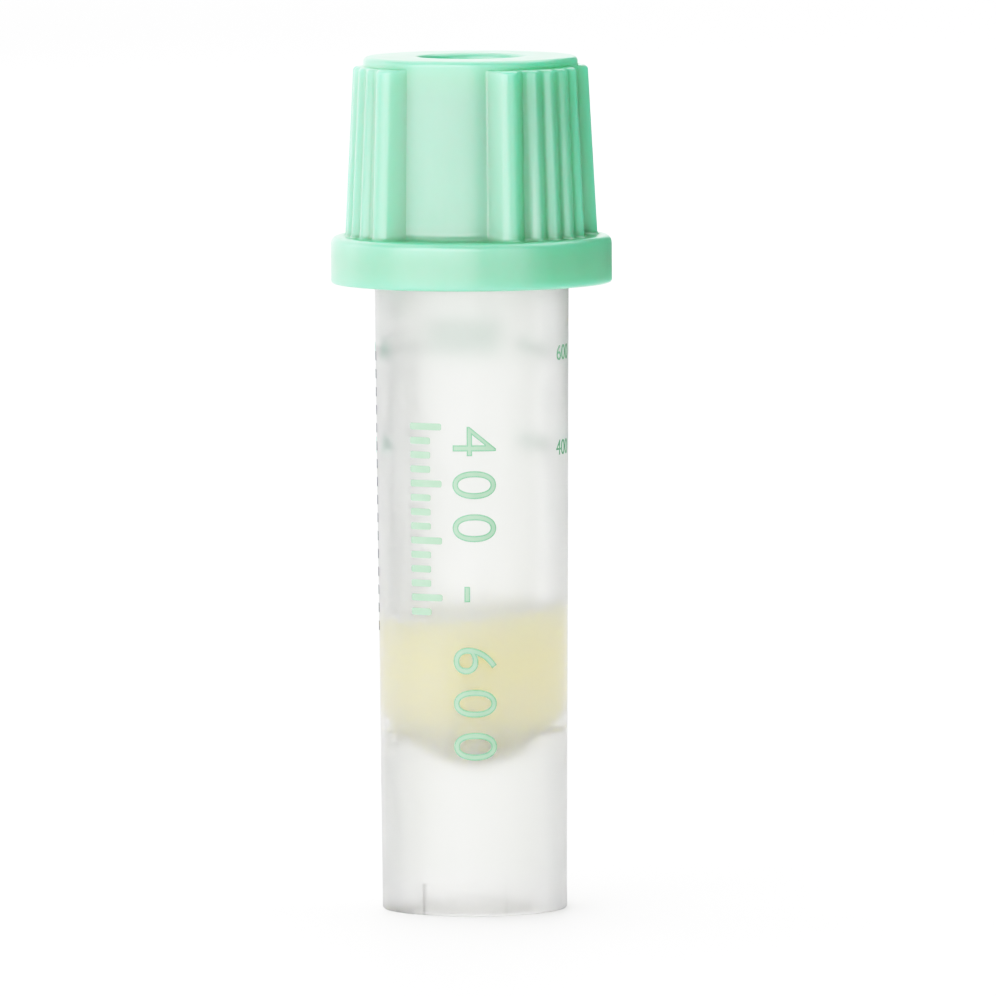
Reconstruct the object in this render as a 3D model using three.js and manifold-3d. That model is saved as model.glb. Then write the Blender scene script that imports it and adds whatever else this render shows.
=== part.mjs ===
// A capillary blood collection tube: a frosted tube with separator gel under a ribbed closure.
//
// Units are millimetres and +Z is up. The origin is the centre of the rim that the tube stands on,
// and its front faces -Y. Angles round the axis start at the front and grow towards +X.
// The closure is shown seated, and it comes off straight up along +Z.

import * as THREE from 'three';
import { mergeVertices } from 'three/addons/utils/BufferGeometryUtils.js';
import Module from 'manifold-3d';

const wasm = await Module();
wasm.setup();

// ------------------------------------------------------------------ driving dimensions

// Tube: one moulding, a round-bottomed reservoir carried on an open skirt.
const tubeHeight = 43.0;          // standing rim to mouth
const boreDiameter = 7.7;         // at the mouth
const boreDraft = 0.05;           // radius lost from the mouth down to the round bottom
const reservoirBottom = 8.35;     // standing rim to the lowest point of the bore
const tubeWall = 1.27;            // reservoir wall under the shoulder
const outerDraft = 0.25;          // radius lost from the shoulder down to the rim
const domeWall = 0.9;             // round bottom of the reservoir
const skirtWall = 1.0;            // at the rim
const skirtDraft = 0.05;          // radius lost from the rim up to the round bottom
const neckHeight = 9.1;           // narrower top stretch, inside the closure
const neckWall = 0.95;
const mouthChamfer = 0.25;
const rimChamfer = 0.15;

// Keyways: two shallow pockets inside the skirt, open at the rim, that stop the tube turning.
const keywayWidth = 4.3;
const keywayHeight = 1.6;
const keywaySkin = 0.5;           // wall left outside a keyway
const keywayAngle = -7.7;         // middle of the front keyway, degrees

// Separator gel: set in the bottom of the bore with its surface slightly aslant.
const gelHeight = 7.5;            // lowest point to the middle of the surface
const gelSlope = 5.5;             // degrees, the surface rises towards +X
const gelClearance = 0.05;

// Closure: one moulding with a ribbed grip, a flange, a socket for the neck and a hollow plug.
const socketClearance = 0.1;      // round the neck, and round the shoulder in the counterbore
const plugClearance = 0.1;        // between the plug and the bore
const seatClearance = 0.1;        // above the tube's shoulder
const mouthClearance = 0.3;       // above the tube's mouth
const counterboreDepth = 0.93;
const crownThickness = 1.7;       // socket ceiling to the top face
const gripWall = 0.75;            // round the socket, at the top
const gripDraft = 0.15;           // radius gained by the grip's wall down to the flange
const crownHeight = 0.5;          // plain disc above the ribs
const crownRounding = 0.3;
const plugLength = 4.7;
const plugFloor = 1.0;
const plugChamfer = 0.4;
const recessDiameter = 5.4;       // blind hole in the top, down inside the plug
const recessChamfer = 0.3;
const flangeThickness = 2.5;
const flangeWidth = 1.6;          // beyond the foot of the grip's wall
const flangeRounding = 0.4;
const gripFillet = 0.45;          // between the grip's wall and the flange

// Grip ribs. A smooth wide channel faces the front, and another the back. A tall wide rib stands at
// each side of it, followed by lower ridges round to a side channel, which takes what angle is left.
const wideChannelAngle = -13.6;   // middle of the front wide channel, degrees
const wideChannelSpan = 44.8;     // its floor, degrees
const wideRibHeightTop = 0.85;
const wideRibHeightFoot = 1.05;
const wideRibNearFlank = 6.3;     // channel floor up to the rib's near corner, degrees
const wideRibNearCrest = 4.7;     // near corner to the crest, degrees
const wideRibFarCrest = 2.8;      // crest to the far corner, degrees
const wideRibFarFlank = 7.8;      // far corner down to the wall, degrees
const wideRibNearCorner = 0.17;   // how far the near corner at the foot lies under the crest
const wideRibFarCorner = 0.08;    // how far the far corner at the foot lies under the crest
const ridgesPerQuarter = 4;
const ridgeHeightTop = 0.53;
const ridgeHeightFoot = 0.85;
const ridgePitch = 9.8;           // degrees
const firstRidgeGap = 13.9;       // wide rib's crest to the first ridge's crest, degrees
const lastRidgeFlank = 7.5;       // last crest down to the side channel's floor, degrees
const grooveDepth = 0.25;         // between ridges, at the foot
const ribShoulder = 0.2;          // chamfer along the ribs' top ends
const ribRoot = 0.3;              // how far the ribs reach into the wall and the flange

// Fineness of the round surfaces.
const turnSteps = 48;
const domeSteps = 8;
const roundingSteps = 3;
const grooveSteps = 4;

// ------------------------------------------------------------------ values that follow

const mouthBoreRadius = boreDiameter / 2;
const bottomBoreRadius = mouthBoreRadius - boreDraft;
const domeCentreZ = reservoirBottom + bottomBoreRadius;
const shoulderZ = tubeHeight - neckHeight;
const shoulderRadius = mouthBoreRadius + tubeWall;
const rimRadius = shoulderRadius - outerDraft;
const neckRadius = mouthBoreRadius + neckWall;
const skirtFootRadius = rimRadius - skirtWall;
const skirtTopRadius = skirtFootRadius - skirtDraft;
const domeOuterRadius = bottomBoreRadius + domeWall;

const gelSurfaceZ = reservoirBottom + gelHeight;

const socketRadius = neckRadius + socketClearance;
const counterboreRadius = shoulderRadius + socketClearance;
const plugRadius = mouthBoreRadius - plugClearance;
const recessRadius = recessDiameter / 2;
const ceilingZ = tubeHeight + mouthClearance;
const topZ = ceilingZ + crownThickness;
const plugBottomZ = ceilingZ - plugLength;
const recessFloorZ = plugBottomZ + plugFloor;
const counterboreZ = shoulderZ + seatClearance;
const flangeBottomZ = counterboreZ - counterboreDepth;
const flangeTopZ = flangeBottomZ + flangeThickness;
const ribTopZ = topZ - crownHeight;
const gripTopRadius = socketRadius + gripWall;
const gripFootRadius = gripTopRadius + gripDraft;
const flangeRadius = gripFootRadius + flangeWidth;
const ribRootRadius = gripFootRadius - ribRoot;
const wideRibCrestAngle = wideChannelSpan / 2 + wideRibNearFlank + wideRibNearCrest;

// ------------------------------------------------------------------ shape helpers

const point = (radius, z) => new THREE.Vector2(radius, z);

// Points along an arc in a lathe profile. Angles are in degrees, 0 pointing away from the axis.
function arc(centreRadius, centreZ, radius, fromAngle, toAngle, steps) {
  const points = [];
  for (let i = 0; i <= steps; i += 1) {
    const angle = THREE.MathUtils.degToRad(fromAngle + ((toAngle - fromAngle) * i) / steps);
    points.push(point(centreRadius + radius * Math.cos(angle), centreZ + radius * Math.sin(angle)));
  }
  return points;
}

// A solid of revolution about Z.
function turned(profile) {
  return new THREE.LatheGeometry(profile, turnSteps).rotateX(Math.PI / 2);
}

// A place in plan, by its distance from the axis and its angle from the front.
function place(radius, angle) {
  const turn = THREE.MathUtils.degToRad(angle);
  return new THREE.Vector2(radius * Math.sin(turn), -radius * Math.cos(turn));
}

function toSolid(geometry) {
  const bare = geometry.clone();
  bare.deleteAttribute('normal');
  bare.deleteAttribute('uv');
  const merged = mergeVertices(bare);
  const corners = merged.index.array;
  const triVerts = [];
  for (let i = 0; i < corners.length; i += 3) {
    const [a, b, c] = corners.slice(i, i + 3);
    if (a !== b && b !== c && c !== a) triVerts.push(a, b, c);
  }
  return new wasm.Manifold(new wasm.Mesh({
    numProp: 3,
    vertProperties: new Float32Array(merged.attributes.position.array),
    triVerts: new Uint32Array(triVerts),
  }));
}

function toGeometry(solid) {
  const mesh = solid.getMesh();
  const geometry = new THREE.BufferGeometry();
  geometry.setAttribute('position', new THREE.BufferAttribute(mesh.vertProperties, mesh.numProp));
  geometry.setIndex(new THREE.BufferAttribute(mesh.triVerts, 1));
  geometry.computeVertexNormals();
  return geometry;
}

// ------------------------------------------------------------------ tube

// The round bottom of the bore, from its wall to the axis, set inwards by a clearance.
function boreDome(clearance) {
  return arc(0, domeCentreZ, bottomBoreRadius - clearance, 0, -90, domeSteps);
}

function tubeProfile() {
  const skirtTopAngle = -THREE.MathUtils.radToDeg(Math.acos(skirtTopRadius / domeOuterRadius));
  return [
    ...arc(0, domeCentreZ, domeOuterRadius, -90, skirtTopAngle, domeSteps),
    point(skirtFootRadius, 0),
    point(rimRadius - rimChamfer, 0),
    point(rimRadius, rimChamfer),
    point(shoulderRadius, shoulderZ),
    point(neckRadius, shoulderZ),
    point(neckRadius, tubeHeight - mouthChamfer),
    point(neckRadius - mouthChamfer, tubeHeight),
    point(mouthBoreRadius + mouthChamfer, tubeHeight),
    point(mouthBoreRadius, tubeHeight - mouthChamfer),
    ...boreDome(0),
  ];
}

// One bar across the skirt, rounded at its ends, cuts both keyways.
function keywayCutter() {
  const bar = new THREE.BoxGeometry(keywayWidth, 2 * rimRadius, 2 * keywayHeight);
  bar.rotateZ(THREE.MathUtils.degToRad(keywayAngle));
  const endRadius = rimRadius - keywaySkin;
  const ends = turned([
    point(0, -2 * keywayHeight),
    point(endRadius, -2 * keywayHeight),
    point(endRadius, 2 * keywayHeight),
    point(0, 2 * keywayHeight),
  ]);
  return toSolid(bar).intersect(toSolid(ends));
}

function tubeGeometry() {
  return toGeometry(toSolid(turned(tubeProfile())).subtract(keywayCutter()));
}

// ------------------------------------------------------------------ separator gel

function gelGeometry() {
  const reach = bottomBoreRadius;
  const blankTopZ = gelSurfaceZ + reach;
  const wallRadius = bottomBoreRadius - gelClearance;
  const blank = turned([
    ...boreDome(gelClearance).reverse(),
    point(wallRadius, blankTopZ),
    point(0, blankTopZ),
  ]);
  const waste = new THREE.BoxGeometry(4 * reach, 4 * reach, 2 * reach);
  waste.translate(0, 0, reach);
  waste.rotateY(-THREE.MathUtils.degToRad(gelSlope));
  waste.translate(0, 0, gelSurfaceZ);
  return toGeometry(toSolid(blank).subtract(toSolid(waste)));
}

// ------------------------------------------------------------------ closure

function closureProfile() {
  const topRounding = arc(gripTopRadius - crownRounding, topZ - crownRounding, crownRounding, 0, 90,
    roundingSteps);
  const flangeEdge = arc(flangeRadius - flangeRounding, flangeTopZ - flangeRounding, flangeRounding,
    0, 90, roundingSteps);
  const foot = arc(gripFootRadius + gripFillet, flangeTopZ + gripFillet, gripFillet, 270, 180,
    roundingSteps);
  return [
    point(0, plugBottomZ),
    point(plugRadius - plugChamfer, plugBottomZ),
    point(plugRadius, plugBottomZ + plugChamfer),
    point(plugRadius, ceilingZ),
    point(socketRadius, ceilingZ),
    point(socketRadius, counterboreZ),
    point(counterboreRadius, counterboreZ),
    point(counterboreRadius, flangeBottomZ),
    point(flangeRadius, flangeBottomZ),
    ...flangeEdge,
    ...foot,
    ...topRounding,
    point(recessRadius + recessChamfer, topZ),
    point(recessRadius, topZ - recessChamfer),
    point(recessRadius, recessFloorZ),
    point(0, recessFloorZ),
  ];
}

// The plan of a rib at its foot is drawn by polar places, turning from the middle of a wide channel
// towards one side, and it closes under the grip's wall.
function ribPlan(side, fromAngle, toAngle, drawOutline) {
  const plan = new THREE.Shape();
  const polar = (radius, angle) => place(radius, side * angle);
  plan.moveTo(...polar(ribRootRadius, fromAngle));
  drawOutline({
    line: (radius, angle) => plan.lineTo(...polar(radius, angle)),
    bow: (controlRadius, controlAngle, radius, angle) => {
      plan.quadraticCurveTo(...polar(controlRadius, controlAngle), ...polar(radius, angle));
    },
    // Leaves one radius and reaches the other with no slope at either.
    sweep: (fromRadius, startAngle, radius, angle) => {
      const middle = (startAngle + angle) / 2;
      const controls = [polar(fromRadius, middle), polar(radius, middle)];
      plan.bezierCurveTo(...controls[0], ...controls[1], ...polar(radius, angle));
    },
  });
  plan.lineTo(...polar(ribRootRadius, toAngle));
  plan.lineTo(...polar(ribRootRadius, (fromAngle + toAngle) / 2));
  plan.closePath();
  return plan;
}

// The tall rib along one side of a wide channel.
function wideRibPlan(side) {
  const crestRadius = gripFootRadius + wideRibHeightFoot;
  const nearRadius = crestRadius - wideRibNearCorner;
  const farRadius = crestRadius - wideRibFarCorner;
  const nearAngle = wideRibCrestAngle - wideRibNearCrest;
  const farAngle = wideRibCrestAngle + wideRibFarCrest;
  const start = wideChannelSpan / 2;
  const end = farAngle + wideRibFarFlank;
  return ribPlan(side, start, end, ({ line, bow }) => {
    line(gripFootRadius, start);
    line(nearRadius, nearAngle);
    bow(crestRadius, nearAngle + wideRibNearCrest / 3, crestRadius, wideRibCrestAngle);
    bow(crestRadius, farAngle - wideRibFarCrest / 3, farRadius, farAngle);
    line(gripFootRadius, end);
  });
}

// The low ridges from under the wide rib round to the side channel.
function ridgesPlan(side) {
  const crestRadius = gripFootRadius + ridgeHeightFoot;
  const grooveRadius = crestRadius - grooveDepth;
  const halfPitch = ridgePitch / 2;
  const firstCrest = wideRibCrestAngle + firstRidgeGap;
  const lastCrest = firstCrest + (ridgesPerQuarter - 1) * ridgePitch;
  const start = firstCrest - ridgePitch;
  const end = lastCrest + lastRidgeFlank;
  return ribPlan(side, start, end, ({ line, sweep }) => {
    line(grooveRadius, start);
    line(grooveRadius, firstCrest - halfPitch);
    for (let ridge = 0; ridge < ridgesPerQuarter; ridge += 1) {
      const crest = firstCrest + ridge * ridgePitch;
      sweep(grooveRadius, crest - halfPitch, crestRadius, crest);
      if (ridge < ridgesPerQuarter - 1) sweep(crestRadius, crest, grooveRadius, crest + halfPitch);
    }
    sweep(crestRadius, lastCrest, gripFootRadius, end);
  });
}

// Ribs standing in the flange and drafted towards the top, where their ends are chamfered.
function ribSolid(plan, heightTop, heightFoot) {
  const length = ribTopZ - flangeTopZ;
  const geometry = new THREE.ExtrudeGeometry(plan, {
    depth: length,
    steps: 1,
    bevelEnabled: false,
    curveSegments: grooveSteps,
  });
  const position = geometry.attributes.position;
  for (let i = 0; i < position.count; i += 1) {
    const radius = Math.hypot(position.getX(i), position.getY(i));
    const rise = position.getZ(i) / length;
    const wallRadius = gripFootRadius - gripDraft * rise;
    const heightShare = 1 - (1 - heightTop / heightFoot) * rise;
    const scale = (wallRadius + (radius - gripFootRadius) * heightShare) / radius;
    position.setXY(i, position.getX(i) * scale, position.getY(i) * scale);
    if (rise === 0) position.setZ(i, -ribRoot);
  }
  geometry.translate(0, 0, flangeTopZ);
  return toSolid(geometry).subtract(ribShoulderCutter(gripTopRadius + heightTop));
}

// The ring that takes the corner off the top ends of ribs that reach a radius there.
function ribShoulderCutter(crestRadius) {
  return toSolid(turned([
    point(crestRadius - ribShoulder, ribTopZ),
    point(crestRadius + ribShoulder, ribTopZ - 2 * ribShoulder),
    point(crestRadius + ribShoulder, ribTopZ + ribShoulder),
    point(crestRadius - ribShoulder, ribTopZ + ribShoulder),
    point(crestRadius - ribShoulder, ribTopZ),
  ]));
}

function closureGeometry() {
  let solid = toSolid(turned(closureProfile()));
  for (const side of [-1, 1]) {
    const wideRib = ribSolid(wideRibPlan(side), wideRibHeightTop, wideRibHeightFoot);
    const ridges = ribSolid(ridgesPlan(side), ridgeHeightTop, ridgeHeightFoot);
    for (const channelAngle of [wideChannelAngle, wideChannelAngle + 180]) {
      const turn = [0, 0, channelAngle];
      solid = solid.add(wideRib.rotate(turn)).add(ridges.rotate(turn));
    }
  }
  return toGeometry(solid);
}

// ------------------------------------------------------------------ assembly

const tubeMaterial = new THREE.MeshStandardMaterial({
  color: new THREE.Color(0.91, 0.92, 0.9),
  roughness: 0.4,
  metalness: 0,
  transparent: true,
  opacity: 0.5,
});
const gelMaterial = new THREE.MeshStandardMaterial({
  color: new THREE.Color(0.93, 0.87, 0.58),
  roughness: 0.35,
  metalness: 0,
});
const closureMaterial = new THREE.MeshStandardMaterial({
  color: new THREE.Color(0.55, 0.88, 0.73),
  roughness: 0.3,
  metalness: 0,
});

function piece(name, geometry, material) {
  const mesh = new THREE.Mesh(geometry, material);
  mesh.name = name;
  return mesh;
}

const collectionTube = new THREE.Group();
collectionTube.add(piece('tube', tubeGeometry(), tubeMaterial));
collectionTube.add(piece('separator_gel', gelGeometry(), gelMaterial));
collectionTube.add(piece('closure', closureGeometry(), closureMaterial));

export default collectionTube;
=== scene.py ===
"""A small capillary blood collection tube with separator gel and a mint green lift-off closure.

Shapes are built in millimetres about the tube's axis and written out in metres. Angles round the
axis start at the front, which faces -Y, and grow towards +X.
"""
import math

import bmesh
import bpy
import numpy as np
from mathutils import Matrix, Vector


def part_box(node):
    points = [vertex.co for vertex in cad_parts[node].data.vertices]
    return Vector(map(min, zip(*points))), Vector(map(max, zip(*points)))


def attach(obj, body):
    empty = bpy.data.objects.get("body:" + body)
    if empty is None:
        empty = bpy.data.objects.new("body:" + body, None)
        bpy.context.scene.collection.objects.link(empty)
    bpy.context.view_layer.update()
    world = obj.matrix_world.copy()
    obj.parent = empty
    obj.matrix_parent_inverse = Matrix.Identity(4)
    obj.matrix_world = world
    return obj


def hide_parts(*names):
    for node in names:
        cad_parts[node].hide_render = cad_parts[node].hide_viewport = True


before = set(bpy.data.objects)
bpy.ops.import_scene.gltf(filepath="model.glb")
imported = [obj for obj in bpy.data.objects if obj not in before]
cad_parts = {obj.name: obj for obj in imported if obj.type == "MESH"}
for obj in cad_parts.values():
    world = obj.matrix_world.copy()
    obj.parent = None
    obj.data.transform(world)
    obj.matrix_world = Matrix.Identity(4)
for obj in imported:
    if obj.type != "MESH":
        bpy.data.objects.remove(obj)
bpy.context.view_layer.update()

MM = 0.001

# ------------------------------------------------------------------ sizes, in millimetres


def corners(node):
    """A CAD node's lowest and highest corner in millimetres."""
    low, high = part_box(node)
    return Vector(low) / MM, Vector(high) / MM


tube_low, tube_high = corners("tube")
gel_low, gel_high = corners("separator_gel")
closure_low, closure_high = corners("closure")

# Tube, from its box and the same walls as its solid, but with shallower keyways.
MOUTH_Z = tube_high.z
SHOULDER_R = tube_high.x
TUBE_WALL = 1.27
OUTER_DRAFT = 0.25
NECK_HEIGHT = 9.1
NECK_WALL = 0.95
BORE_DRAFT = 0.05
DOME_WALL = 0.9
SKIRT_WALL = 1.0
SKIRT_DRAFT = 0.05
RIM_ROUNDING = 0.15
SHOULDER_ROUNDING = 0.1
MOUTH_ROUNDING = 0.25
SKIRT_TOP_ROUNDING = 0.1
KEYWAY_WIDTH = 4.3
KEYWAY_FLANK = 0.08  # how wide each side of a keyway is
KEYWAY_HEIGHT = 1.6
KEYWAY_SKIN = 0.7    # wall left outside a keyway
KEYWAY_ANGLE = -7.7  # middle of the front keyway, degrees
PAINTED_LIGHT_FOOT_HEIGHT = 3.0  # how far up the skirt its foot is painted paler, as painted light against the shade there
GEL_CLEARANCE = 0.05  # between the gel's solid and the bore
GEL_CONTACT = 0.01    # how far the visible gel reaches into the wall, so no air shows between them

MOUTH_BORE_R = SHOULDER_R - TUBE_WALL
BORE_R = MOUTH_BORE_R - BORE_DRAFT
BORE_BOTTOM_Z = gel_low.z - GEL_CLEARANCE
DOME_Z = BORE_BOTTOM_Z + BORE_R
DOME_OUTER_R = BORE_R + DOME_WALL
SHOULDER_Z = MOUTH_Z - NECK_HEIGHT
NECK_R = MOUTH_BORE_R + NECK_WALL
RIM_R = SHOULDER_R - OUTER_DRAFT
SKIRT_FOOT_R = RIM_R - SKIRT_WALL
SKIRT_TOP_R = SKIRT_FOOT_R - SKIRT_DRAFT
SKIRT_TOP_Z = DOME_Z - math.sqrt(DOME_OUTER_R**2 - SKIRT_TOP_R**2)

# Gel.
GEL_WALL_R = BORE_R + GEL_CONTACT
GEL_SLOPE = 5.5         # degrees, up towards +X
GEL_HEIGHT = 7.5        # at the axis
GEL_DIP = 0.06          # how far the level lies below that height, which the meniscus makes up for
MENISCUS_HEIGHT = 0.22
MENISCUS_REACH = 0.35
GEL_LIP = 0.06          # height of the last step up the wall
GEL_PAINTED_LIGHT_BOTTOM = 2.4   # how far up the rounded bottom the gel is painted paler, as painted light against its shade
GEL_PALE_TOP = (-0.6, 0.2)  # where it turns pale, measured from its surface

# Closure, from its box and the same walls as its solid.
TOP_Z = closure_high.z
FLANGE_BOTTOM_Z = closure_low.z
FLANGE_R = closure_high.x
FLANGE_THICKNESS = 2.5
FLANGE_WIDTH = 1.6
GRIP_DRAFT = 0.15
GRIP_WALL = 0.75
CROWN_HEIGHT = 0.5
CROWN_THICKNESS = 1.7
PLUG_CLEARANCE = 0.1
PLUG_LENGTH = 4.7
PLUG_FLOOR = 1.0
SOCKET_CLEARANCE = 0.1
SEAT_CLEARANCE = 0.1
RECESS_R = 2.7
WIDE_CHANNEL_ANGLE = -13.6  # middle of the front wide channel, degrees
WIDE_RIB_HEIGHT_TOP = 0.85  # how far the ribs stand out from the grip's wall
WIDE_RIB_HEIGHT_FOOT = 1.05
RIDGE_HEIGHT_TOP = 0.53
RIDGE_HEIGHT_FOOT = 0.85
GROOVE_DEPTH = 0.3  # between ridges, as a share of their height

# The grip in plan, in degrees from the middle of a wide channel.
WIDE_RIB_PLAN = (  # an angle and the share of the rib's height that it has there
    (22.4, 0.0), (28.7, 0.82), (30.2, 0.93), (32.0, 0.99), (33.4, 1.0), (35.0, 0.98), (36.2, 0.92),
    (44.0, 0.0),
)
FIRST_RIDGE = 47.3
RIDGE_PITCH = 9.8
RIDGES = 4
RIDGE_FLANK = 7.5  # from the last ridge's crest down to the side channel

FLANGE_TOP_Z = FLANGE_BOTTOM_Z + FLANGE_THICKNESS
GRIP_FOOT_R = FLANGE_R - FLANGE_WIDTH
GRIP_TOP_R = GRIP_FOOT_R - GRIP_DRAFT
RIB_TOP_Z = TOP_Z - CROWN_HEIGHT
CEILING_Z = TOP_Z - CROWN_THICKNESS
PLUG_R = MOUTH_BORE_R - PLUG_CLEARANCE
PLUG_BOTTOM_Z = CEILING_Z - PLUG_LENGTH
RECESS_FLOOR_Z = PLUG_BOTTOM_Z + PLUG_FLOOR
SOCKET_R = NECK_R + SOCKET_CLEARANCE
COUNTERBORE_R = SHOULDER_R + SOCKET_CLEARANCE
COUNTERBORE_Z = SHOULDER_Z + SEAT_CLEARANCE

# Roundings of the closure's edges.
FINE_EDGE = 0.12
FLANGE_ROUNDING = 0.4
FLANGE_UNDER_ROUNDING = 0.15
CHANNEL_FILLET = 0.45
RIB_FILLET = 0.2
RECESS_ROUNDING = 0.3
CROWN_ROUNDING = 0.28
RIB_END_ROUNDING = 0.22
PLUG_ROUNDING = 0.4
RECESS_FLOOR_ROUNDING = 0.3
RIB_SOFTENING = 0.35  # degrees

# Points round each skin.
CLOSURE_STATIONS = 680
TUBE_STATIONS = 540
GEL_STATIONS = 240

# ------------------------------------------------------------------ shapes of revolution


def arc(centre_r, centre_z, radius, from_angle, to_angle, steps=8):
    """Points (distance from the axis, height) along an arc. Angle 0 points away from the axis."""
    angles = np.radians(np.linspace(from_angle, to_angle, steps + 1))
    return [(centre_r + radius * math.cos(a), centre_z + radius * math.sin(a)) for a in angles]


def line(start, end, steps):
    """Points from start up to, but not including, end."""
    return [tuple(np.add(start, np.subtract(end, start) * i / steps)) for i in range(steps)]


def link(thing):
    bpy.context.scene.collection.objects.link(thing)
    return thing


def mesh_piece(name, vertices, faces, smooth=True):
    """A piece from points in millimetres."""
    mesh = bpy.data.meshes.new(name)
    mesh.from_pydata([tuple(v) for v in np.asarray(vertices) * MM], [], faces)
    mesh.validate()
    mesh.update()
    if smooth:
        mesh.shade_smooth()
    return link(bpy.data.objects.new(name, mesh))


def skin(name, rings, stations):
    """A closed skin through rings about the axis, with a point on the axis at each end.

    Each ring is (distance, height), where either may be an array with a value at each station.
    """
    angles = np.radians(np.arange(stations) * 360 / stations)
    around = np.stack([np.sin(angles), -np.cos(angles)], axis=1)
    vertices = [(0, 0, np.mean(rings[0][1]))]
    for distance, height in rings[1:-1]:
        flat = around * np.broadcast_to(distance, stations)[:, None]
        high = np.broadcast_to(height, stations)[:, None]
        vertices += list(np.hstack([flat, high]))
    vertices.append((0, 0, np.mean(rings[-1][1])))
    last = len(vertices) - 1
    top = last - stations
    faces = []
    for k in range(stations):
        after = (k + 1) % stations
        faces.append((0, 1 + after, 1 + k))
        faces.append((last, top + k, top + after))
    for ring in range(len(rings) - 3):
        low = 1 + ring * stations
        high = low + stations
        for k in range(stations):
            after = (k + 1) % stations
            faces.append((low + k, low + after, high + after, high + k))
    return mesh_piece(name, vertices, faces)


def sharpen(piece, angle=35):
    """Keeps edges steeper than angle crisp on an otherwise smooth piece."""
    piece.data.set_sharp_from_angle(angle=math.radians(angle))


# ------------------------------------------------------------------ closure


def softened(values, reach):
    """Values round a closed loop, averaged over about reach stations each way."""
    count = int(3 * reach)
    offsets = np.arange(-count, count + 1)
    weights = np.exp(-((offsets / reach) ** 2))
    rolled = [np.roll(values, o) * w for o, w in zip(offsets, weights)]
    return np.sum(rolled, axis=0) / weights.sum()


def grip_plan(stations):
    """How far each station round the grip stands out, as a share of a wide rib and of a ridge."""
    angles = np.arange(stations) * 360 / stations
    # Every quarter mirrors its neighbours, so an angle is measured from the nearer wide channel.
    away = np.abs((angles - WIDE_CHANNEL_ANGLE + 90) % 180 - 90)
    wide = np.interp(away, *zip(*WIDE_RIB_PLAN))
    wave = (1 + np.cos(np.radians((away - FIRST_RIDGE) / RIDGE_PITCH * 360))) / 2
    ridges = 1 - GROOVE_DEPTH * (1 - wave)
    last = FIRST_RIDGE + (RIDGES - 1) * RIDGE_PITCH
    fall = np.clip((away - last) / RIDGE_FLANK, 0, 1)
    ridges = np.where(away > last, 1 - fall**2 * (3 - 2 * fall), ridges)
    ridges = np.where(away < FIRST_RIDGE - RIDGE_PITCH / 2, 1 - GROOVE_DEPTH, ridges)
    ridges = np.where(away < FIRST_RIDGE - RIDGE_PITCH, 0, ridges)
    reach = RIB_SOFTENING * stations / 360
    return softened(wide, reach), softened(ridges, reach)


def grip_rings(stations):
    """The ribbed grip, from the foot fillet on the flange up to the crown's wall."""
    wide, ridges = grip_plan(stations)
    height = RIB_TOP_Z - FLANGE_TOP_Z
    share = np.clip(np.maximum(wide, ridges), 0, 1)

    def wall(z):
        return GRIP_FOOT_R - GRIP_DRAFT * (z - FLANGE_TOP_Z) / height

    def rib(z):
        rise = (z - FLANGE_TOP_Z) / height
        wide_height = WIDE_RIB_HEIGHT_FOOT + (WIDE_RIB_HEIGHT_TOP - WIDE_RIB_HEIGHT_FOOT) * rise
        ridge_height = RIDGE_HEIGHT_FOOT + (RIDGE_HEIGHT_TOP - RIDGE_HEIGHT_FOOT) * rise
        return np.maximum(wide * wide_height, ridges * ridge_height)

    fillet = CHANNEL_FILLET + (RIB_FILLET - CHANNEL_FILLET) * share
    rings = []
    for turn in np.radians(np.linspace(0, 90, 11)):
        z = FLANGE_TOP_Z + fillet * (1 - math.cos(turn))
        rings.append((wall(z) + rib(z) + fillet * (1 - math.sin(turn)), z))
    start = FLANGE_TOP_Z + CHANNEL_FILLET
    end = RIB_TOP_Z - RIB_END_ROUNDING
    for z in np.linspace(start, end, 14)[1:-1]:
        rings.append((wall(z) + rib(z), z))
    for turn in np.radians(np.linspace(0, 90, 8)):
        z = end + RIB_END_ROUNDING * math.sin(turn)
        drop = RIB_END_ROUNDING * (1 - math.cos(turn))
        rings.append((wall(z) + np.maximum(rib(z) - drop * share, 0), z))
    for reach, rise in ((0.1, 0.01), (0.03, 0.03), (0, 0.1)):
        rings.append((wall(RIB_TOP_Z) + reach * share, RIB_TOP_Z + rise))
    return rings


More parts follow.
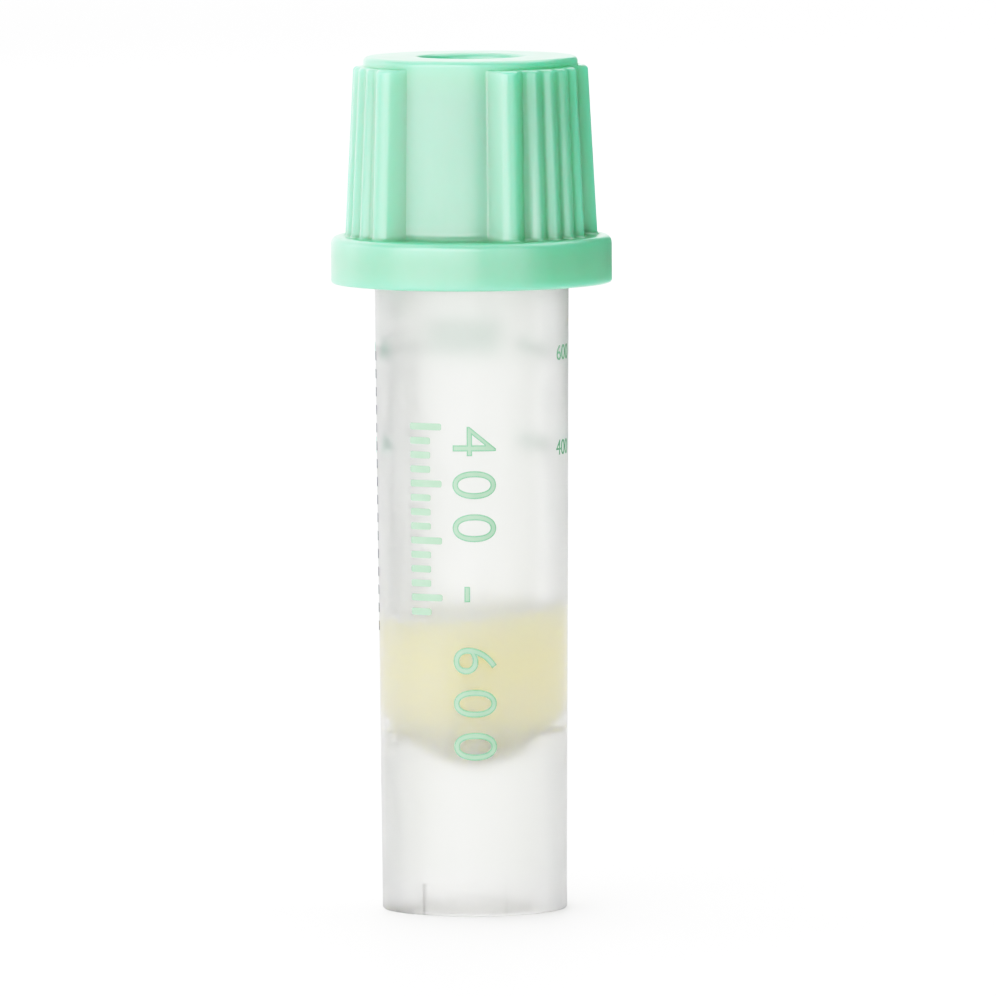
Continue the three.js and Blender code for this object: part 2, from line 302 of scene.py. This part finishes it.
def closure_rings(stations):
    """Up round the plug, down the socket, out round the flange, up the grip, and down the recess."""
    edge = FINE_EDGE
    return [
        (0, PLUG_BOTTOM_Z),
        *line((0.8, PLUG_BOTTOM_Z), (PLUG_R - PLUG_ROUNDING, PLUG_BOTTOM_Z), 3),
        *arc(PLUG_R - PLUG_ROUNDING, PLUG_BOTTOM_Z + PLUG_ROUNDING, PLUG_ROUNDING, -90, 0),
        *line((PLUG_R, PLUG_BOTTOM_Z + 0.6), (PLUG_R, CEILING_Z - edge), 4),
        *arc(PLUG_R + edge, CEILING_Z - edge, edge, 180, 90, 4),
        *arc(SOCKET_R - edge, CEILING_Z - edge, edge, 90, 0, 4),
        *line((SOCKET_R, CEILING_Z - 0.4), (SOCKET_R, COUNTERBORE_Z + edge), 5),
        *arc(SOCKET_R + edge, COUNTERBORE_Z + edge, edge, 180, 270, 4)[:3],
        (COUNTERBORE_R - 0.02, COUNTERBORE_Z),
        (COUNTERBORE_R, COUNTERBORE_Z - 0.02),
        *line((COUNTERBORE_R, COUNTERBORE_Z - 0.2), (COUNTERBORE_R, FLANGE_BOTTOM_Z + edge), 2),
        *arc(COUNTERBORE_R + edge, FLANGE_BOTTOM_Z + edge, edge, 180, 270, 4),
        *line((COUNTERBORE_R + 0.4, FLANGE_BOTTOM_Z), (FLANGE_R - 0.4, FLANGE_BOTTOM_Z), 4),
        *arc(FLANGE_R - FLANGE_UNDER_ROUNDING, FLANGE_BOTTOM_Z + FLANGE_UNDER_ROUNDING,
             FLANGE_UNDER_ROUNDING, -90, 0),
        *line((FLANGE_R, FLANGE_BOTTOM_Z + 0.4), (FLANGE_R, FLANGE_TOP_Z - 0.5), 4),
        *arc(FLANGE_R - FLANGE_ROUNDING, FLANGE_TOP_Z - FLANGE_ROUNDING, FLANGE_ROUNDING, 0, 90),
        *grip_rings(stations),
        *line((GRIP_TOP_R, RIB_TOP_Z + 0.15), (GRIP_TOP_R, TOP_Z - CROWN_ROUNDING), 2),
        *arc(GRIP_TOP_R - CROWN_ROUNDING, TOP_Z - CROWN_ROUNDING, CROWN_ROUNDING, 0, 90),
        *line((GRIP_TOP_R - 0.4, TOP_Z), (RECESS_R + 0.4, TOP_Z), 5),
        *arc(RECESS_R + RECESS_ROUNDING, TOP_Z - RECESS_ROUNDING, RECESS_ROUNDING, 90, 180),
        *line((RECESS_R, TOP_Z - 0.5), (RECESS_R, RECESS_FLOOR_Z + RECESS_FLOOR_ROUNDING), 5),
        *arc(RECESS_R - RECESS_FLOOR_ROUNDING, RECESS_FLOOR_Z + RECESS_FLOOR_ROUNDING,
             RECESS_FLOOR_ROUNDING, 0, -90),
        (1.5, RECESS_FLOOR_Z),
        (0.6, RECESS_FLOOR_Z),
        (0, RECESS_FLOOR_Z),
    ]


# ------------------------------------------------------------------ tube


def keyway_window(stations, radius):
    """1 inside a keyway, 0 elsewhere, with sloping flanks, at this distance from the axis."""
    angles = np.radians(np.arange(stations) * 360 / stations - KEYWAY_ANGLE)
    offset = np.abs(np.sin(angles)) * radius
    return np.clip((KEYWAY_WIDTH / 2 - offset) / KEYWAY_FLANK + 0.5, 0, 1)


def tube_outer(z):
    """The tube's outer radius at a height, under the shoulder."""
    return RIM_R + (SHOULDER_R - RIM_R) * z / SHOULDER_Z


def tube_rings(stations):
    """From under the reservoir down the skirt, up the outside, and down the bore."""
    skirt_top_angle = -math.degrees(math.acos(SKIRT_TOP_R / DOME_OUTER_R))
    keyway_r = RIM_R - KEYWAY_SKIN
    window = keyway_window(stations, keyway_r)

    def skirt(z):
        return SKIRT_FOOT_R + (SKIRT_TOP_R - SKIRT_FOOT_R) * z / SKIRT_TOP_Z

    def pocket(z):
        return skirt(z) + (keyway_r - skirt(z)) * window

    rings = [(0, DOME_Z - DOME_OUTER_R)]
    rings += arc(0, DOME_Z, DOME_OUTER_R, -90, skirt_top_angle - 1.5, 18)[1:]
    rings += arc(SKIRT_TOP_R - SKIRT_TOP_ROUNDING, SKIRT_TOP_Z - 0.12, SKIRT_TOP_ROUNDING, 45, 0, 3)
    rings += [(skirt(z), z) for z in np.linspace(SKIRT_TOP_Z - 0.4, KEYWAY_HEIGHT + 0.1, 12)]
    rings.append((skirt(KEYWAY_HEIGHT), KEYWAY_HEIGHT))
    rings.append((pocket(KEYWAY_HEIGHT - 0.03), KEYWAY_HEIGHT - 0.03))
    rings += [(pocket(z), z) for z in np.linspace(KEYWAY_HEIGHT - 0.1, 0.08, 6)]
    rings.append((pocket(0.02) + 0.01, 0.02))
    rings.append((pocket(0.0) + 0.04, 0.0))
    rings += arc(RIM_R - RIM_ROUNDING, RIM_ROUNDING, RIM_ROUNDING, -90, 0, 6)
    rings += [(tube_outer(z), z) for z in np.linspace(0.4, SHOULDER_Z - 0.15, 40)]
    rings += arc(SHOULDER_R - SHOULDER_ROUNDING, SHOULDER_Z - SHOULDER_ROUNDING,
                 SHOULDER_ROUNDING, 0, 90, 4)
    rings.append((NECK_R + 0.03, SHOULDER_Z))
    rings.append((NECK_R, SHOULDER_Z + 0.03))
    rings += line((NECK_R, SHOULDER_Z + 0.4), (NECK_R, MOUTH_Z - MOUTH_ROUNDING), 6)
    lip_z = MOUTH_Z - MOUTH_ROUNDING
    rings += arc(NECK_R - MOUTH_ROUNDING, lip_z, MOUTH_ROUNDING, 0, 90, 6)
    rings += arc(MOUTH_BORE_R + MOUTH_ROUNDING, lip_z, MOUTH_ROUNDING, 90, 180, 6)
    rings += line((MOUTH_BORE_R, MOUTH_Z - 0.5), (BORE_R, DOME_Z), 24)
    rings += arc(0, DOME_Z, BORE_R, 0, -90, 24)
    return rings


# ------------------------------------------------------------------ gel


def gel_rings(stations):
    """Up the rounded bottom and the wall, then in over the slanted surface."""
    angles = np.radians(np.arange(stations) * 360 / stations)
    middle_z = BORE_BOTTOM_Z + GEL_HEIGHT

    def surface(distance):
        creep = MENISCUS_HEIGHT * math.exp((distance - GEL_WALL_R) / MENISCUS_REACH)
        slope = math.tan(math.radians(GEL_SLOPE)) * distance * np.sin(angles)
        return middle_z + slope + creep - GEL_DIP

    wall_top = surface(GEL_WALL_R)
    rings = arc(0, DOME_Z, GEL_WALL_R, -90, 0, 24)
    for share in np.linspace(0, 1, 12)[1:]:
        rings.append((GEL_WALL_R, DOME_Z + (wall_top - GEL_LIP - DOME_Z) * share))
    for distance in GEL_WALL_R - np.array([0.03, 0.08, 0.16, 0.28, 0.45, 0.7, 1.1, 1.7, 2.4, 3.1]):
        rings.append((distance, surface(distance)))
    rings.append((0, middle_z - GEL_DIP))
    return rings


# ------------------------------------------------------------------ print

INK_ROOT = 0.01      # how far the ink reaches into the wall, so that no air shows behind it
INK_HEIGHT = 0.02
INK_STEP = 0.15      # the widest flat stretch across a print that bends round the tube
OUTLINE = 0.07       # how far the darker outline shows round the large numbers
FILL_LINES = {"600": 29.5, "400": 24.5}  # a volume in microlitres and its height
LARGE_NUMBERS_Z = 17.0
LARGE_NUMBERS_HEIGHT = 2.35
LARGE_NUMBERS_SPACING = 1.35
TICKS = 14
TICKS_PER_LONG_ONE = 4
LONG_TICK = 1.9
SHORT_TICK = 1.25
TICK_HEIGHT = 0.36
TICK_PITCH = 0.75
TOP_TICK_Z = 25.8
BACK_FIELD_Z = 29.9
DARK_MARKS_FROM = 15.0
DARK_MARKS_TO = 29.3


def slab(shape, outline):
    """Adds a flat plate of ink with this outline."""
    low = [shape.verts.new((x, y, -INK_ROOT)) for x, y in outline]
    high = [shape.verts.new((x, y, INK_HEIGHT)) for x, y in outline]
    shape.faces.new(low[::-1])
    shape.faces.new(high)
    for k in range(len(outline)):
        after = (k + 1) % len(outline)
        shape.faces.new((low[k], low[after], high[after], high[k]))


def bar(shape, x, y, width, height, rounding=0.1):
    """Adds a bar of ink with round corners, centred on x, y."""
    outline = []
    reach_x = width / 2 - rounding
    reach_y = height / 2 - rounding
    for corner in range(4):
        turn = 90 * corner
        cx = x + reach_x * (1 if corner in (0, 3) else -1)
        cy = y + reach_y * (1 if corner in (0, 1) else -1)
        outline += arc(cx, cy, rounding, turn, turn + 90, 4)
    slab(shape, outline)


def numerals(shape, text, x, y, height, spread=0.0, turned=False, spacing=1.0):
    """Adds plain numbers, centred on x, y. Turned ones read downwards; spread makes them bolder."""
    curve = bpy.data.curves.new("numerals", "FONT")
    curve.body = text
    curve.align_x = "CENTER"
    curve.space_character = spacing
    curve.extrude = 0.5  # any thickness: only which side of the middle a point is on counts below
    text_object = link(bpy.data.objects.new("numerals", curve))
    bare = bpy.data.meshes.new_from_object(text_object)
    low = min(v.co.y for v in bare.vertices)
    high = max(v.co.y for v in bare.vertices)
    bpy.data.meshes.remove(bare)
    scale = height / (high - low)
    curve.offset = spread / scale
    bpy.context.view_layer.update()
    mesh = bpy.data.meshes.new_from_object(text_object)
    letters = bmesh.new()
    letters.from_mesh(mesh)
    bpy.data.objects.remove(text_object)
    bmesh.ops.remove_doubles(letters, verts=letters.verts, dist=1e-5)
    for v in letters.verts:
        across = v.co.x * scale
        up = (v.co.y - (low + high) / 2) * scale
        depth = INK_HEIGHT if v.co.z > 0 else -INK_ROOT
        v.co = (x + up, y - across, depth) if turned else (x + across, y + up, depth)
    letters.to_mesh(mesh)
    letters.free()
    shape.from_mesh(mesh)
    bpy.data.meshes.remove(mesh)


def wrapped(name, shape, angle, lift=0.0):
    """A print that was laid out flat, in millimetres, bent round the tube about an angle."""
    reach = [v.co.x for v in shape.verts]
    for cut in np.arange(min(reach) + INK_STEP, max(reach), INK_STEP):
        everything = shape.verts[:] + shape.edges[:] + shape.faces[:]
        bmesh.ops.bisect_plane(
            shape, geom=everything, dist=1e-5, plane_co=(cut, 0, 0), plane_no=(1, 0, 0)
        )
    for v in shape.verts:
        across, z, out = v.co
        turn = math.radians(angle) + across / SHOULDER_R
        radius = tube_outer(z) + out + (lift if out > 0 else 0)
        v.co = (radius * math.sin(turn) * MM, -radius * math.cos(turn) * MM, z * MM)
    bmesh.ops.recalc_face_normals(shape, faces=shape.faces)
    mesh = bpy.data.meshes.new(name)
    shape.to_mesh(mesh)
    shape.free()
    return link(bpy.data.objects.new(name, mesh))


def large_numbers(spread):
    """The fill range in microlitres, in large numbers down the front."""
    shape = bmesh.new()
    numerals(shape, "400 - 600", 0, LARGE_NUMBERS_Z, LARGE_NUMBERS_HEIGHT, spread, turned=True,
             spacing=LARGE_NUMBERS_SPACING)
    return shape


def front_scale():
    """A column of ticks beside the large numbers, every fourth one long."""
    shape = bmesh.new()
    for tick in range(TICKS):
        length = LONG_TICK if tick % TICKS_PER_LONG_ONE == 0 else SHORT_TICK
        bar(shape, length / 2, TOP_TICK_Z - TICK_PITCH * tick, length, TICK_HEIGHT)
    return shape


def fill_line_dashes():
    shape = bmesh.new()
    for z in FILL_LINES.values():
        bar(shape, 0, z, 3.0, 0.45)
    return shape


def fill_line_numbers():
    shape = bmesh.new()
    for text, z in FILL_LINES.items():
        numerals(shape, text, 0, z, 0.8)
    return shape


def fill_line_flags():
    shape = bmesh.new()
    for z in FILL_LINES.values():
        bar(shape, 0, z, 1.45, 0.85, 0.2)
    return shape


def back_field():
    shape = bmesh.new()
    bar(shape, 0, BACK_FIELD_Z, 5.2, 1.9, 0.2)
    return shape


def dark_marks(width, height, pitch):
    """A column of small plain marks up the tube."""
    shape = bmesh.new()
    for z in np.arange(DARK_MARKS_FROM, DARK_MARKS_TO, pitch):
        bar(shape, 0, z, width, height, 0.08)
    return shape


# ------------------------------------------------------------------ materials

UP = (0, 0, 1)


def material(name, **inputs):
    """A material and its shader, with the shader's inputs given by name."""
    made = bpy.data.materials.new(name)
    made.use_nodes = True
    shader = made.node_tree.nodes["Principled BSDF"]
    for socket, value in inputs.items():
        shader.inputs[socket.replace("_", " ")].default_value = value
    return made, shader


def noise(tree, scale, detail=2.0, stretch=(1, 1, 1)):
    """Noise fixed to the piece, with scale features a metre, denser along a stretched axis."""
    place = tree.nodes.new("ShaderNodeTexCoord")
    fit = tree.nodes.new("ShaderNodeMapping")
    fit.inputs["Scale"].default_value = stretch
    tree.links.new(place.outputs["Object"], fit.inputs["Vector"])
    grain = tree.nodes.new("ShaderNodeTexNoise")
    grain.inputs["Scale"].default_value = scale
    grain.inputs["Detail"].default_value = detail
    tree.links.new(fit.outputs["Vector"], grain.inputs["Vector"])
    return grain.outputs["Fac"]


def ramp(tree, value, start, end, low=0.0, high=1.0):
    """Eases from low to high while a value goes from start to end."""
    fit = tree.nodes.new("ShaderNodeMapRange")
    fit.interpolation_type = "SMOOTHSTEP"
    fit.inputs["From Min"].default_value = start
    fit.inputs["From Max"].default_value = end
    fit.inputs["To Min"].default_value = low
    fit.inputs["To Max"].default_value = high
    tree.links.new(value, fit.inputs["Value"])
    return fit.outputs["Result"]


def spread(tree, value, low, high):
    """Stretches a noise over a range."""
    return ramp(tree, value, 0.25, 0.75, low, high)


def distance_along(tree, direction):
    """How far a point of the piece lies along a direction, in metres."""
    place = tree.nodes.new("ShaderNodeTexCoord")
    project = tree.nodes.new("ShaderNodeVectorMath")
    project.operation = "DOT_PRODUCT"
    project.inputs[1].default_value = direction
    tree.links.new(place.outputs["Object"], project.inputs[0])
    return project.outputs["Value"]


def blended(tree, share, first, second):
    """A colour between two others, each of which may itself come from nodes."""
    mix = tree.nodes.new("ShaderNodeMix")
    mix.data_type = "RGBA"
    tree.links.new(share, mix.inputs["Factor"])
    for socket, colour in ((mix.inputs[6], first), (mix.inputs[7], second)):
        if isinstance(colour, bpy.types.NodeSocket):
            tree.links.new(colour, socket)
        else:
            socket.default_value = (*colour, 1)
    return mix.outputs[2]


def relief(tree, shader, value, depth):
    """Raises and lowers the surface by a noise, depth millimetres from low to high."""
    bump = tree.nodes.new("ShaderNodeBump")
    bump.inputs["Strength"].default_value = 1.0
    bump.inputs["Distance"].default_value = depth * MM
    tree.links.new(value, bump.inputs["Height"])
    tree.links.new(bump.outputs["Normal"], shader.inputs["Normal"])


def closure_material():
    """Mint green moulded plastic with faint flow marks up the grip."""
    made, shader = material(
        "mint_plastic",
        IOR=1.65,
        Specular_IOR_Level=1.0,
        Subsurface_Weight=1.0,
        Subsurface_Radius=(0.3, 1.0, 0.8),
        Subsurface_Scale=0.004,
    )
    tree = made.node_tree
    flow = spread(tree, noise(tree, 260, 3, (1, 1, 0.25)), 0, 1)
    colour = blended(tree, flow, (0.149, 0.400, 0.258), (0.161, 0.417, 0.272))
    tree.links.new(colour, shader.inputs["Base Color"])
    gloss = spread(tree, noise(tree, 700, 2, (1, 1, 0.4)), 0.28, 0.33)
    tree.links.new(gloss, shader.inputs["Roughness"])
    relief(tree, shader, noise(tree, 2600, 1), 0.0006)
    return made


def tube_material():
    """Frosted, see-through natural polypropylene, a little uneven, with its skirt's foot painted
    paler as painted light against the shade there.
    """
    made, shader = material(
        "frosted_tube",
        IOR=1.49,
        Specular_IOR_Level=0.3,
        Transmission_Weight=0.9,
        Subsurface_Weight=1.0,
        Subsurface_Radius=(1.0, 1.0, 1.0),
        Subsurface_Scale=0.006,
    )
    tree = made.node_tree
    haze = spread(tree, noise(tree, 120, 3, (1, 1, 0.3)), 0, 1)
    wall = blended(tree, haze, (0.90, 0.91, 0.885), (0.915, 0.92, 0.90))
    # Painted light: the skirt's foot is painted paler, to lift the shade that falls inside the
    # skirt.
    up = ramp(tree, distance_along(tree, UP), 0, PAINTED_LIGHT_FOOT_HEIGHT * MM)
    tree.links.new(blended(tree, up, (0.985, 0.985, 0.98), wall), shader.inputs["Base Color"])
    frost = spread(tree, noise(tree, 500, 3, (1, 1, 0.4)), 0.28, 0.32)
    tree.links.new(frost, shader.inputs["Roughness"])
    relief(tree, shader, noise(tree, 2200, 2), 0.0006)
    return made


def gel_material():
    """Soft straw-coloured gel, paler in a band under its surface, and painted paler at its rounded
    bottom as painted light against the shade there.
    """
    made, shader = material(
        "separator_gel",
        IOR=1.4,
        Subsurface_Weight=1.0,
        Subsurface_Radius=(1.0, 0.9, 0.5),
        Subsurface_Scale=0.01,
    )
    tree = made.node_tree
    cloud = spread(tree, noise(tree, 300, 3), 0, 1)
    warm = blended(tree, cloud, (0.98, 0.79, 0.49), (0.985, 0.81, 0.54))
    # Painted light: the rounded bottom is painted paler, to lift the shade that falls there.
    painted_light_end = BORE_BOTTOM_Z + GEL_PAINTED_LIGHT_BOTTOM
    bottom = ramp(tree, distance_along(tree, UP), BORE_BOTTOM_Z * MM, painted_light_end * MM)
    lower = blended(tree, bottom, (1.0, 0.97, 0.86), warm)
    slope = math.radians(GEL_SLOPE)
    surface_direction = (math.sin(-slope), 0, math.cos(slope))
    surface_z = (BORE_BOTTOM_Z + GEL_HEIGHT) * math.cos(slope)
    below, above = [(surface_z + step) * MM for step in GEL_PALE_TOP]
    top = ramp(tree, distance_along(tree, surface_direction), below, above)
    colour = blended(tree, top, lower, (0.93, 0.93, 0.83))
    tree.links.new(colour, shader.inputs["Base Color"])
    wet = spread(tree, noise(tree, 700, 2), 0.29, 0.38)
    tree.links.new(wet, shader.inputs["Roughness"])
    relief(tree, shader, noise(tree, 900, 2), 0.002)
    return made


def ink_material(name, colour, see_through=0.0):
    """Screen-printed ink, a little thinner in places."""
    made, shader = material(name, Transmission_Weight=see_through)
    tree = made.node_tree
    thin = tuple(0.95 * part + 0.05 for part in colour)
    coverage = spread(tree, noise(tree, 1400, 3), 0, 1)
    tree.links.new(blended(tree, coverage, thin, colour), shader.inputs["Base Color"])
    tree.links.new(spread(tree, noise(tree, 2000, 2), 0.35, 0.5), shader.inputs["Roughness"])
    relief(tree, shader, noise(tree, 3000, 2), 0.001)
    return made


# ------------------------------------------------------------------ build

closure = skin("closure_moulding", closure_rings(CLOSURE_STATIONS), CLOSURE_STATIONS)
sharpen(closure)
closure.data.materials.append(closure_material())
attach(closure, "closure_body")
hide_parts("closure")

tube = skin("tube_moulding", tube_rings(TUBE_STATIONS), TUBE_STATIONS)
sharpen(tube)
tube.data.materials.append(tube_material())
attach(tube, "tube_body")
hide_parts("tube")

gel = skin("separator_gel_fill", gel_rings(GEL_STATIONS), GEL_STATIONS)
sharpen(gel, 60)
gel.data.materials.append(gel_material())
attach(gel, "tube_body")
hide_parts("separator_gel")

pale_ink = ink_material("pale_green_ink", (0.28, 0.44, 0.31))
outline_ink = ink_material("green_outline_ink", (0.17, 0.37, 0.23))
fill_line_ink = ink_material("fill_line_ink", (0.10, 0.64, 0.44), 0.45)
field_ink = ink_material("pale_field_ink", (0.78, 0.94, 0.87), 0.85)
dark_ink = ink_material("dark_ink", (0.10, 0.10, 0.13))
faded_ink = ink_material("faded_blue_ink", (0.11, 0.12, 0.22), 0.3)


def printed(name, shape, angle, ink, lift=0.0):
    piece = wrapped(name, shape, angle, lift)
    piece.data.materials.append(ink)
    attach(piece, "tube_body")


printed("large_number_outline", large_numbers(0.0), 1, outline_ink)
printed("large_number_fill", large_numbers(-OUTLINE), 1, pale_ink, lift=0.01)
printed("front_scale", front_scale(), -40, pale_ink)
printed("fill_line_dashes", fill_line_dashes(), 126, fill_line_ink)
printed("fill_line_numbers", fill_line_numbers(), 70, outline_ink)
printed("fill_line_flags", fill_line_flags(), -98, fill_line_ink)
printed("back_field", back_field(), 187, field_ink)
printed("side_marks", dark_marks(0.45, 0.5, 0.95), -85, dark_ink)
printed("back_left_marks", dark_marks(1.3, 0.85, 1.43), -123, faded_ink)

# ------------------------------------------------------------------ stage, in metres

CAMERA_DISTANCE = 0.83
CAMERA_HEIGHT = 0.090
AIM = Vector((0.00133, 0, 0.02166))
FRAME_WIDTH = 0.0525
CAMERA_ROLL = 0.3  # degrees
SENSOR = 36.0      # millimetres

camera_data = bpy.data.cameras.new("camera")
camera = link(bpy.data.objects.new("camera", camera_data))
camera.location = (AIM.x, -CAMERA_DISTANCE, CAMERA_HEIGHT)
look = AIM - camera.location
camera.rotation_euler = look.to_track_quat("-Z", "Y").to_euler()
camera.rotation_euler.rotate_axis("Z", math.radians(-CAMERA_ROLL))
camera_data.sensor_width = SENSOR
camera_data.lens = SENSOR * look.length / FRAME_WIDTH
camera_data.clip_start = 0.05
camera_data.clip_end = 20
bpy.context.scene.camera = camera


FLOOR_REACH = 4000  # millimetres
FLAG_AZIMUTHS = (82, 116, 148)
FLAG_DISTANCE = 0.32
FLAG_WIDTH = 220    # millimetres
FLAG_HEIGHT = 300   # millimetres
WORLD_RADIANCE = 0.22

# Upright soft boxes that stand on the floor: name, azimuth (0 in front, 90 at the right), distance,
# width, height, radiance, and the kinds of ray that each is hidden from.
SOFT_BOXES = (
    ("front_left", -30, 0.55, 0.8, 0.6, 3.45, ()),
    ("front_right", 31, 0.6, 0.36, 0.6, 1.5, ()),
    ("left", -95, 0.55, 0.6, 0.4, 1.6, ("transmission",)),
    ("back_left", -140, 0.7, 0.8, 0.6, 1.5, ("transmission",)),
    ("right", 95, 0.55, 0.6, 0.4, 1.5, ("glossy",)),
    ("glow_through_tube", 115, 0.55, 0.5, 0.4, 1.5, ("diffuse", "glossy")),
    ("back", 165, 1.2, 1.0, 1.0, 1.15, ()),
    ("back_gloss", 180, 1.2, 1.0, 0.6, 0.6, ("diffuse", "transmission")),
)


def area_light(name, place, size, radiance):
    """A soft rectangular light that faces straight down until it is turned."""
    data = bpy.data.lights.new(name, "AREA")
    data.shape = "RECTANGLE"
    data.size, data.size_y = size
    data.energy = math.pi * size[0] * size[1] * radiance
    lamp = link(bpy.data.objects.new(name, data))
    lamp.location = place
    lamp.visible_camera = False
    return lamp


def soft_box(name, azimuth, distance, width, height, radiance, hidden_from):
    """An upright soft box that faces the tube's axis."""
    turn = math.radians(azimuth)
    place = (distance * math.sin(turn), -distance * math.cos(turn), height / 2)
    lamp = area_light(name, place, (width, height), radiance)
    toward = Vector((0, 0, height / 2)) - lamp.location
    lamp.rotation_euler = toward.to_track_quat("-Z", "Y").to_euler()
    for ray in hidden_from:
        setattr(lamp, f"visible_{ray}", False)


def plain_sheet(name, outline, colour_material):
    """One flat face."""
    sheet = mesh_piece(name, outline, [(0, 1, 2, 3)], smooth=False)
    sheet.data.materials.append(colour_material)
    return sheet


def gloss_flag(name, azimuth, colour_material):
    """An upright black card that only shows in reflections, and keeps the floor out of them."""
    side = FLAG_WIDTH / 2
    outline = [(-side, 0, 0), (side, 0, 0), (side, 0, FLAG_HEIGHT), (-side, 0, FLAG_HEIGHT)]
    card = plain_sheet(name, outline, colour_material)
    turn = math.radians(azimuth)
    card.location = (FLAG_DISTANCE * math.sin(turn), -FLAG_DISTANCE * math.cos(turn), 0)
    card.rotation_euler = (0, 0, turn)
    card.visible_camera = False
    card.visible_diffuse = False
    card.visible_transmission = False
    card.visible_shadow = False


corner_signs = ((-1, -1), (1, -1), (1, 1), (-1, 1))
floor_outline = [(FLOOR_REACH * x, FLOOR_REACH * y, 0) for x, y in corner_signs]
pale_floor, _ = material("pale_floor", Base_Color=(0.88, 0.88, 0.88, 1), Roughness=0.6)
plain_sheet("floor", floor_outline, pale_floor)

black_card, _ = material("black_card", Base_Color=(0.02, 0.02, 0.02, 1), Roughness=0.9)
for number, azimuth in enumerate(FLAG_AZIMUTHS):
    gloss_flag(f"flag_{number}", azimuth, black_card)

for box in SOFT_BOXES:
    soft_box(*box)
area_light("overhead", (0, 0.7, 1.2), (2.0, 2.0), 1.9)

world = bpy.data.worlds.new("studio")
world.use_nodes = True
world.node_tree.nodes["Background"].inputs["Color"].default_value = (1, 1, 1, 1)
world.node_tree.nodes["Background"].inputs["Strength"].default_value = WORLD_RADIANCE
bpy.context.scene.world = world

# A photographic tone response: deeper in the shadows, with highlights that ease into white.
TONE_WHITE = 1.4
TONE_POINTS = [(0.1, 0.06), (0.2, 0.14), (0.35, 0.3), (0.6, 0.57), (0.9, 0.81), (1.15, 0.94)]
view = bpy.context.scene.view_settings
view.view_transform = "Standard"
view.use_curve_mapping = True
view.curve_mapping.white_level = (TONE_WHITE, TONE_WHITE, TONE_WHITE)
tone = view.curve_mapping.curves[3]
for light_in, light_out in TONE_POINTS:
    tone.points.new(light_in / TONE_WHITE, light_out)
view.curve_mapping.update()
